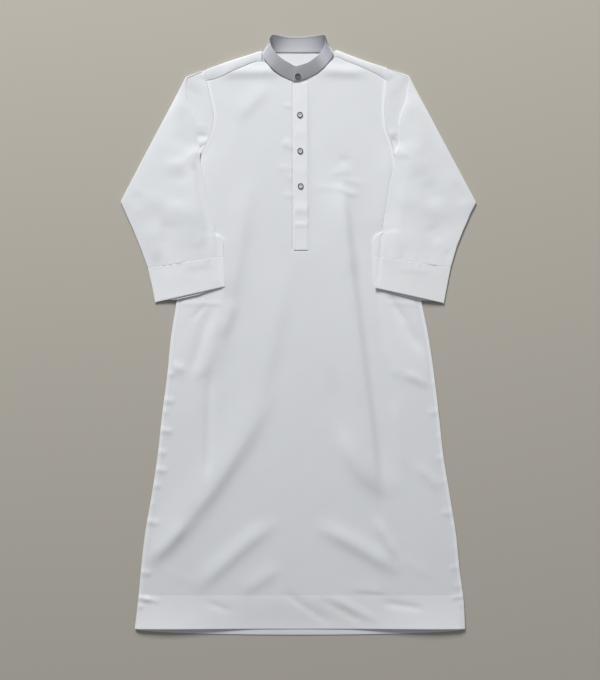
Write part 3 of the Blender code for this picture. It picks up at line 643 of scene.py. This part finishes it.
def lying_height(x, y):
    """Height of what a sleeve lies on, the surface or the front bridged over its hollows, between the
    map's four points round each place."""
    across, down = (x - map_x[0]) / MAP_STEP, (y - map_y[0]) / MAP_STEP
    column, row = across.astype(int), down.astype(int)
    across, down = across - column, down - row
    near = blend(lying_map[row, column], lying_map[row, column + 1], across)
    far = blend(lying_map[row + 1, column], lying_map[row + 1, column + 1], across)
    return blend(near, far, down)


def sections(table, spot, straight=(2, 3)):
    """Sections at fractional row numbers of a table: columns on smooth curves through the rows, and
    those of the outer fold, or others named straight, on straight lines between them."""
    rows = np.arange(len(table))
    found = np.stack([curve_through(rows, column, spot) for column in table.T], -1)
    for column in straight:
        found[:, column] = np.interp(spot, rows, table[:, column])
    return found


def strip_width(x, y):
    """How far the loose strip beside the inner fold, along the cuff and above it, reaches past its line."""
    start, lean, top = STRIP_LINE
    return np.maximum(start - lean * np.maximum(top - y, 0) - np.abs(x), 0)


def tube(rows, thick, puff):
    """Flattened tube from sections (seam x, y, fold x, y, tuck), as thick as said at its folds and puffed
    up between them: from the seam over the body's side, out under the pleat, back over its edge, over the
    top to the outer fold and back underneath.

    Returns the points in millimetres, the place from fold to seam and the distance in from the inner
    edge of each, and which layer it is in.
    """
    seam, fold, tuck = rows[:, 0:2], rows[:, 2:4], rows[:, 4:5]
    width = np.hypot(*(seam - fold).T)[:, None]
    closed = smooth((ARMPIT_Y + 30 - seam[:, 1:2]) / 40)  # 1 where the inner edge is a plain fold
    t = np.array([[0, 0.006, 0.03, 0.1, 0.22, 0.37, 0.53, 0.69, 0.85, 1.0]])
    turn = np.linspace(0, np.pi, 9)[None]
    thick, puff = thick[:, None], puff[:, None]
    edge = thick / 2
    no_pleat = 1 - smooth(tuck / 0.2)
    nose = np.clip(tuck, (edge + 1.0) / width, 1 - 1.0 / width)
    under = np.minimum(PLEAT_UNDER / width, 0.45 * nose) * (1 - no_pleat)
    # cloth from the seam to under the pleat, then back to its edge
    level_at = blend(1.0, nose - under, t)
    held = smooth((ARMPIT_Y + 40 - seam[:, 1:2]) / 40)  # 1 where the tube lies on the map
    begins = np.where(seam[:, 1] > SHOULDER_Y, shoulder_top(*seam.T), front_top(*seam.T)) - REST
    begins = begins[:, None] - held * lying_height(*seam.T)[:, None]
    level_up = blend(begins, PLEAT_LOW + (thick - 1.8) * no_pleat, smooth(t / 0.9))
    nose_t = np.linspace(0, 1, 5)[None]
    back_at = blend(nose - under, nose - PLEAT_ROUND / width, nose_t)
    back_up = blend(level_up[:, -1:] + 0.3 * (1 - no_pleat), PLEAT_HIGH + 1.6 * no_pleat, nose_t)
    round_at = nose - PLEAT_ROUND / width * (1 - no_pleat) * (1 - np.sin(turn))
    round_up = blend(back_up[:, -1:], thick, (1 - np.cos(turn)) / 2)
    wide = smooth(((nose - edge / width) * width - 4) / 50)
    pleat_at = np.concatenate([level_at, back_at[:, 1:], round_at[:, 1:]], 1)
    pleat_up = np.concatenate([level_up, back_up[:, 1:], round_up[:, 1:]], 1)
    # the plain inner fold below the armpit, with as many points
    many = pleat_at.shape[1]
    half_turn = np.linspace(0, np.pi, many)[None]
    plain_at = 1 - INNER_EDGE / 2 / width * (1 - np.sin(half_turn))
    plain_up = INNER_EDGE / 2 * (1 - np.cos(half_turn)) + np.zeros_like(width)
    inner_at, inner_up = blend(pleat_at, plain_at, closed), blend(pleat_up, plain_up, closed)
    last = inner_at[:, -1:]
    inner_reach = INNER_REACH * closed + 1.0
    reach = edge / width
    top_at = blend(last, reach, np.linspace(0, 1, TOP_POINTS)[None, 1:])
    place = (top_at - reach) / (last - reach)
    past_strip = np.maximum((last - top_at) * width - strip_width(seam[:, 0:1], seam[:, 1:2]), 0)
    top_up = blend(thick, inner_up[:, -1:], smooth((inner_reach - past_strip) / inner_reach))
    top_up = top_up + puff * wide * (4 * place * (1 - place)) ** 0.9
    outer_at = reach - reach * np.sin(turn[:, 1:])
    outer_up = edge + edge * np.cos(turn[:, 1:]) + np.zeros_like(width)
    start = inner_at[:, :1]
    low_t = np.linspace(0, 1, LOW_POINTS)[None, 1:]
    low_at = blend(reach, start, np.where(low_t > 0.99, 1.0, low_t * 1.0035))
    low_up = blend(0.0, inner_up[:, :1], smooth((low_at / start - 0.9) / 0.1))
    at = np.concatenate([inner_at, top_at, outer_at, low_at], 1)
    up = np.concatenate([inner_up, top_up, outer_up, low_up], 1)
    layer = np.concatenate([np.zeros(many), np.ones(TOP_POINTS - 1), np.full(len(turn[0]) - 1, 2),
                            np.full(LOW_POINTS - 1, 3)])
    plan = fold[:, None] + (seam - fold)[:, None] * at[..., None]
    x, y = plan[..., 0], plan[..., 1]
    inward = (last - at) * width
    return x, y, lying_height(x, y) * held + up + REST, at, inward, layer


def gathers(x, away, seed):
    """Small puckers square to a cuff's seam, this far away from it."""
    return 0.9 * slack(x, 0 * x, seed, 14) * bell(away / 7)


def make_sleeve(name, node, table, seed):
    """A sleeve's mesh with its creases, replacing the solid's node."""
    spot = np.linspace(0, len(table) - 1, 170)
    found = sections(table, spot)
    seam_side = np.sign(table[0, 0])
    armhole = np.where(seam_side < 0, *body_sides(found[:, 1])) + seam_side * SEAM_OPEN / 2
    found[:, 0] = blend(found[:, 0], armhole, smooth((found[:, 1] - ARMPIT_Y) / 15))
    low = smooth((THINS_FROM_Y - found[:, 1]) / 130)
    x, y, z, at, inward, layer = tube(found, SLEEVE_EDGE - 0.5 * low, SLEEVE_PUFF - low)
    inside = smooth(at / 0.12) * smooth(inward / 18)
    relief = (ridges(SLEEVE_CREASES, x, y) + 0.5 * slack(x, y, seed, 100)
              + gathers(x, found[:, 1:2] - found[-1, 1], seed))
    strip = strip_width(found[:, 0:1], found[:, 1:2])
    past = inward - strip
    roll = (seam_side < 0) * EDGE_ROLL * (bell(past / 6) - 1.3 * bell((past - 17) / 8))
    roll = roll * smooth((ARMPIT_Y - y) / 40) * smooth((y - 200) / 80)
    z = z + np.where((layer == 1)[None], relief * inside + roll, 0.0)
    level = np.arange(z.shape[1]) < 10
    pits = ridges(ARMPIT_CREASES, x, y) * smooth(-inward / 6)
    pits = pits * smooth(np.abs(x - x[:, :1]) / 5)
    z = np.where(level[None], np.maximum(z + pits * smooth((y - 440) / 10), REST), z)
    white = 0.8 * smooth((1 - past) / 3) * smooth(strip / 8) * (inward > -1)
    # Painted light: the sleeves' lower parts take part of the third colour, the right one more than the
    # left, to lighten the shade on them.
    white = np.maximum(white, (0.35 + 0.25 * seam_side) * smooth((THINS_FROM_Y - y) / 80))
    sleeve = sheet_object(name, np.stack([x, y, z], -1), ROBE_CLOTH, CLOTH, weld=True, second=white)
    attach(sleeve, "root")
    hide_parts(node)


make_sleeve("left_sleeve", "sleeve_left", SLEEVE_LEFT, 21)
make_sleeve("right_sleeve", "sleeve_right", SLEEVE_RIGHT, 22)


# ==== Cuffs ====
# A straight band of doubled cloth round the end of each sleeve, its mouth open, its lower layer
# showing a little below the upper one.

CUFF_LEFT = np.array([
    (-187, 197.45, -376.5, 167.95, 1.0), (-185.5, 158, -366, 123, 1.0), (-184, 122, -358, 83, 1.0),
], float)
CUFF_RIGHT = np.array([
    (186.5, 198.95, 380, 168.95, 1.0), (188.5, 158, 371, 124, 1.0), (191, 119, 362.5, 81, 1.0),
], float)
CUFF_WALL, CUFF_DEPTH, CUFF_ROWS = 0.6, 42, 44
CUFF_SHOWS = 5.6  # how far the lower layer shows below the upper one
CUFF_CREASES = [
    (-214, 200, -196, 124, 0, 14, 4, 1.0), (-280, 170, -230, 178, 0, 10, 12, 0.5),
    (203, 200, 197, 134, 0, 3, 4, -1.3), (250, 168, 330, 160, 0, 10, 12, 0.5),
    (186, 121, 372, 80, 0, 4, 34, 0.4),
]


def make_cuff(name, node, table, seed):
    """A cuff's mesh, its lower layer longer at the mouth, replacing the solid's node."""
    spot = np.linspace(0, len(table) - 1, CUFF_ROWS)
    run = spot / spot[-1]
    x, y, z, at, inward, layer = tube(sections(table, spot), SLEEVE_EDGE - 0.5 - 1.1 * run,
                                      SLEEVE_PUFF - 1.0 - 0.5 * run)
    run = run[:, None]
    lip = smooth((at - 0.1) / 0.25) * smooth((0.85 - at) / 0.25)
    down = CUFF_SHOWS * run**3 * np.where(layer == 3, lip, np.where(layer == 2, 0.3, 0.0))
    inside = smooth(at / 0.12) * smooth((1 - at) / 0.1)
    relief = (ridges(CUFF_CREASES, x, y) + 0.45 * slack(x, y, seed, 70)
              + gathers(x, CUFF_DEPTH * run, seed))
    z = z + np.where((layer == 1)[None], relief * inside, 0.0)
    inner = smooth((at - 0.9) / 0.03)
    # The cuff's two layers take part of the third colour, more along its inner fold; painted light whitens
    # it toward the mouth, and painted shade darkens a streak near the inner fold, strongest at the cuff's
    # seam.
    doubled_and_painted_light = 0.6 + 0.4 * np.maximum(run, inner) - 0.3 * bell((at - 0.8) / 0.09) * (1 - run)
    points = np.stack([x, y - down, z], -1)
    cuff = sheet_object(name, points, ROBE_CLOTH, CUFF_WALL, weld=True, second=doubled_and_painted_light)
    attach(cuff, "root")
    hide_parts(node)
    for row, where in ((2, "seam"), (CUFF_ROWS - 3, "mouth")):
        path = points[row, (layer == 1) & (at[row] > 0.02)]
        stitch_row(f"{name}_{where}_stitches", path[::-1])


make_cuff("left_cuff", "cuff_left", CUFF_LEFT, 31)
make_cuff("right_cuff", "cuff_right", CUFF_RIGHT, 32)


# ==== Collar ====
# A band collar of grey fine twill over an interlining, 40 mm high. It stands round the back of the
# neck, leans back and lies down in front, its front ends lapped.

# Its third colour, #DCDDE6, is only painted light, which pales the band's front toward its sides.
BAND_CLOTH = cloth_material("grey band twill", "#BDBEC1", "#B7B8BB", "#DCDDE6", THREAD, 0.35, 1.0)
BAND_THREAD = sewing_thread("grey sewing thread", "#A5A5A9")
BAND_WALL, BAND_HEIGHT = 1.0, 40
BAND_STITCHES = 3.5  # their distance in from either edge
BACK_NECK_Y = 704  # past this the band stands on the back panel
FRONT_SUNK, BACK_SUNK = 0.1, 0.3  # how far its foot sinks into what it stands on
# Sections of the band: x and y of its seam, x, y and z of its rim, its bow and its lift off the seat.
COLLAR = np.array([
    (-14, 634, -4, 671, 15.0, 0.4, 1.6), (9, 639, 10, 675.5, 15.5, 0.4, 1.4),
    (30, 646.5, 26, 682, 14.5, 0.4, 0.5), (52, 659.5, 41, 693, 14, 0.4, 0),
    (71, 678, 54, 705, 12.5, 0.4, 0), (83, 696, 63, 721, 15, 0.4, 0), (85, 710, 67, 734, 20.5, 0.6, 0),
    (77, 708.5, 67.5, 743.5, 23, 1.5, 0), (62, 706.8, 60, 748.5, 23, 1.5, 0),
    (36, 706.8, 34, 747.5, 11.5, 1.2, 0), (0, 706.8, 0, 745.5, 6.5, 1.2, 0),
    (-36, 706.8, -34, 746.5, 9.5, 1.2, 0), (-62, 706.8, -60, 749, 20, 1.5, 0),
    (-78, 708.5, -69.5, 743.5, 23, 1.5, 0), (-87, 710, -70.5, 733, 19, 0.6, 0),
    (-87, 696, -66.5, 719, 17, 0.4, 0), (-76, 678.5, -58, 705, 16, 0.4, 0.3),
    (-57, 659.5, -42, 691, 16, 0.4, 0.3), (-36, 646, -24, 680, 15.5, 0.4, 0.2),
    (-14, 637, -8, 672, 12.8, 0.4, 0), (9, 638, 5, 675, 12.6, 0.4, 0),
], float)

band_spot = np.linspace(0, len(COLLAR) - 1, 320)
rows = sections(COLLAR, band_spot, straight=())
on_back = smooth((rows[:, 1] - BACK_NECK_Y) / 6)
seat_front = np.max([front_form(rows[:, 0] + dx, np.minimum(rows[:, 1], 684) + dy)
                     for dx in (-4, 0, 4) for dy in (-4, 0, 4)], axis=0) - FRONT_SUNK
seat = blend(seat_front, -BACK_SUNK, on_back) + rows[:, 6]
low_edge, rim = np.column_stack([rows[:, 0:2], seat]), rows[:, 2:5]
up = np.linspace(0, 1, 30)[None, :, None]
ahead = np.column_stack([np.gradient(rows[:, 0:2], axis=0), np.zeros(len(rows))])
outward = np.cross(ahead, rim - low_edge)
outward = (outward / np.linalg.norm(outward, axis=1)[:, None])[:, None]
bow = rows[:, 5][:, None, None] * 4 * up * (1 - up)
over = BAND_WALL / 2 * (1 - on_back)[:, None, None]
band_net = low_edge[:, None] + (rim - low_edge)[:, None] * up + outward * (bow + over)
edge_roll, stitch_groove = 0, 0
for from_edge in (up * BAND_HEIGHT, (1 - up) * BAND_HEIGHT):
    edge_roll = edge_roll + 0.05 * bell(from_edge / 1.2)
    stitch_groove = stitch_groove + 0.22 * bell((from_edge - BAND_STITCHES) / 0.8)
band_net = band_net - outward * (edge_roll * (1 - on_back)[:, None, None] + stitch_groove)
# Painted light: the band's front pales toward its sides, the right side most, as if lit there; the back of
# the band keeps its grey.
painted_light_share = smooth((rows[:, 1] + 0.15 * np.maximum(rows[:, 0], 0) - 662) / 36)
painted_light_share = (painted_light_share * (1 - on_back))[:, None] + 0 * up[..., 0]
collar = sheet_object("collar_band", band_net, BAND_CLOTH, BAND_WALL, second=painted_light_share)
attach(collar, "root")
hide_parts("collar")
for name, level in (("foot", 3), ("rim", 26)):
    stitch_row(f"collar_{name}_stitches", band_net[:, level], BAND_THREAD)


# ==== Placket ====
# A strip down the chest opening, 36 mm wide as it lies, sewn over the slit's edges: a crisp edge on the
# left, a soft one on the right, and two rows of stitches across at its foot and 76 mm above.

PLACKET_TOP = np.array([(-14.5, 628.5), (5, 630.0), (23.5, 633.5)])  # x and y of its upper edge
PLACKET_WALL = 0.5
PLACKET_STITCHES = 2.5  # their distance in from the right edge, the foot and the cross rows' ends
PLACKET_TUCKS = [(-40, 316, 60, 313, 0, 12, 14, 1.0), (-40, 276, 60, 277, 0, 8, 8, 0.7)]


def placket_top(x, y):
    """Height of the placket's upper face."""
    across = (x - PLACKET_LEFT_X) / PLACKET_WIDTH
    swell = 0.5 * bell((y - 505) / 14) + 0.4 * bell((y - 416) / 14)
    ripple = 0.25 * slack(x, y, 41, 46)
    middle = smooth(across / 0.25) * smooth((1 - across) / 0.25)
    raised = 0.3 + 0.4 * smooth((1 - across) / 0.12)
    tucks = ridges(PLACKET_TUCKS, x, y)
    return front_form(x, y) + raised + (swell + ripple) * middle + tucks * smooth(across / 0.15)


across, down = np.linspace(0, 1, 34)[None], np.linspace(0, 1, 300)[:, None]
x = PLACKET_LEFT_X + PLACKET_WIDTH * across + 0.35 * slack(0 * across, 420 * down, 43, 60)
head = np.interp(x, *PLACKET_TOP.T)
y = PLACKET_FOOT_Y + (head - PLACKET_FOOT_Y) * down
z = placket_top(x, y)
placket = sheet_object("placket_strip", np.stack([x + 0 * y, y, z], -1), ROBE_CLOTH, PLACKET_WALL,
                       second=0.6)
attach(placket, "root")
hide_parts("placket")
for name, inset in (("left", 3.0), ("right", PLACKET_WIDTH - PLACKET_STITCHES)):
    down = np.linspace(head.min() - 2, PLACKET_FOOT_Y + 2, 300)
    path = np.stack([np.full(300, PLACKET_LEFT_X + inset), down], -1)
    stitch_row(f"placket_{name}_stitches", np.column_stack([path, placket_top(*path.T)]))
for name, height in (("foot", PLACKET_STITCHES), ("box", 76.0)):
    across = np.linspace(PLACKET_STITCHES, PLACKET_WIDTH - PLACKET_STITCHES, 60) + PLACKET_LEFT_X
    path = np.stack([across, np.full(60, PLACKET_FOOT_Y + height)], -1)
    stitch_row(f"placket_{name}_stitches", np.column_stack([path, placket_top(*path.T)]))


# ==== Pocket bags ====
# Two flat bags of the robe's cloth, doubled, sewn into the side seams. They lie between the back and the
# front, which shows each as a faint rise with a soft outline.

BAG_WALL, BAG_LEVEL = 0.9, 1.6  # both layers' thickness, and how high their middle lies
BAG_START = 0.12  # the share of the width that the seam allowance takes


def make_pocket(name, node, table):
    """A pocket bag from its outline, in two layers, replacing the solid's node."""
    rows = sections(table, np.linspace(0, len(table) - 1, 60), straight=(0, 1, 2))
    across = np.linspace(BAG_START, 1, 24)
    x = blend(rows[:, 1:2], rows[:, 2:3], across)
    y = np.repeat(rows[:, 0:1], len(across), axis=1)
    z = BAG_LEVEL + 0.2 * slack(x, y, 51, 60)
    bag = sheet_object(name, np.stack([x, y, z], -1), ROBE_CLOTH, BAG_WALL, side=0.0)
    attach(bag, "root")
    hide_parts(node)


make_pocket("left_pocket_bag", "pocket_left", POCKET_LEFT)
make_pocket("right_pocket_bag", "pocket_right", POCKET_RIGHT)


# ==== Buttons ====
# Four buttons of dark polyester, 14.5 mm across, dished inside a rounded rim, with four holes. Each is
# sewn on with two rows of thread: one on the collar's lap, three down the placket.

HOLE_SPACING, HOLE_RADIUS, HOLE_DEPTH = 2.6, 0.6, 1.2
HOLD, HOLD_RADIUS = 0.3, 0.36  # how far the thread reaches past the holes, and its radius
COLLAR_BUTTON = (-1.5, 647.2)
PLACKET_BUTTONS = [(3.6, 551), (4.3, 461), (5.4, 373)]
# height of the upper face at each distance from the middle, and of the underside, in millimetres
BUTTON_PROFILE = np.array([(0, 1.5), (3.8, 1.55), (4.6, 1.75), (5.2, 2.25), (5.8, 2.4), (6.5, 2.2),
                           (7.0, 1.6), (7.2, 1.1)])
BUTTON_BELOW = np.array([(7.1, 0.5), (6.6, 0.1), (5.0, 0.0), (0.0, 0.0)])
DISH_RADIUS, FINE_RINGS = 5.4, 34  # where the dish ends, and the rings over it and the rim's crest


def polyester(name, colour, middle):
    """Cast polyester, glossy, its dished middle in another tone by the attribute "second"."""
    material, tree, shader = plain_material(name, colour, 0.3)
    dished = add_node(tree, "ShaderNodeAttribute", attribute_name="second")
    place = add_node(tree, "ShaderNodeTexCoord")
    cloud = add_node(tree, "ShaderNodeTexNoise", [(0, place.outputs["Object"])], in_2=420.0, in_3=2.0)
    toned = add_node(tree, "ShaderNodeMix", [(0, dished.outputs["Fac"])], data_type="RGBA",
                     in_6=linear(colour), in_7=linear(middle))
    faint = reckon(tree, "MULTIPLY", [cloud.outputs[0]], in_1=0.2)
    shaded = add_node(tree, "ShaderNodeMix", [(0, faint), (6, toned.outputs[2])], data_type="RGBA",
                      in_7=linear(colour))
    tree.links.new(shaded.outputs[2], shader.inputs["Base Color"])
    return material


BUTTON_GREY = polyester("smoke polyester", "#43464B", "#E4E6EA")
BUTTON_THREAD = sewing_thread("dark sewing thread", "#4C4E53")
BUTTON_BLACK = polyester("black polyester", "#58595C", "#808286")


def make_button(name, node, middle, tilt, material):
    """A button's mesh as rings: from its middle over the dish and the rim, and back underneath."""
    out = np.concatenate([np.linspace(0, 6.4, FINE_RINGS), [6.7, 7.0, 7.2]])
    top = curve_through(*BUTTON_PROFILE.T, out)
    out = np.concatenate([out, BUTTON_BELOW[:, 0]])
    top = np.concatenate([top, BUTTON_BELOW[:, 1]])[:, None]
    angle = np.linspace(0, 2 * np.pi, 73)[None]
    x, y = out[:, None] * np.cos(angle), out[:, None] * np.sin(angle)
    half = HOLE_SPACING / 2
    to_hole = np.hypot(np.abs(x) - half, np.abs(y) - half)
    upper = (np.arange(len(out)) < FINE_RINGS)[:, None]
    z = top - np.where(upper, HOLE_DEPTH * smooth((HOLE_RADIUS + 0.1 - to_hole) / 0.3), 0.0)
    in_dish = smooth((DISH_RADIUS - out[:, None]) / 0.8) * smooth((to_hole - HOLE_RADIUS + 0.1) / 0.2)
    grid = np.stack([x, y, z], -1) @ tilt.T + middle
    button = sheet_object(name, grid, material, weld=True, second=np.where(upper, in_dish, 0.0))
    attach(button, "root")
    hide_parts(node)
    reach = half + HOLD
    for number, across in enumerate((-half, half)):
        run = np.linspace(-reach, reach, 9)
        path = np.stack([run * 0 + across, run, 1.75 - (run / reach) ** 8], -1) @ tilt.T + middle
        stitch_row(f"{name}_thread_{number}", path, BUTTON_THREAD, HOLD_RADIUS, 2 * reach, 2 * reach)


lap = band_net[band_spot < 2.5]
nearest = np.argmin(np.hypot(lap[..., 0] - COLLAR_BUTTON[0], lap[..., 1] - COLLAR_BUTTON[1]))
at_row, at_up = np.unravel_index(nearest, lap.shape[:2])
rightward = lap[at_row + 3, at_up] - lap[at_row - 3, at_up]
rightward = rightward / np.linalg.norm(rightward)
facing = np.cross(rightward, lap[at_row, at_up + 3] - lap[at_row, at_up - 3])
facing = facing / np.linalg.norm(facing)
seat = lap[at_row, at_up] + 0.3 * facing
tilt = np.column_stack([rightward, np.cross(facing, rightward), facing])
make_button("collar_button", "button_collar", seat, tilt, BUTTON_BLACK)
for number, (x, y) in enumerate(PLACKET_BUTTONS, 1):
    seat = (x, y, float(placket_top(np.array(x), np.array(y))) + 0.2)
    make_button(f"placket_button_{number}", f"button_{number}", seat, np.eye(3), BUTTON_GREY)
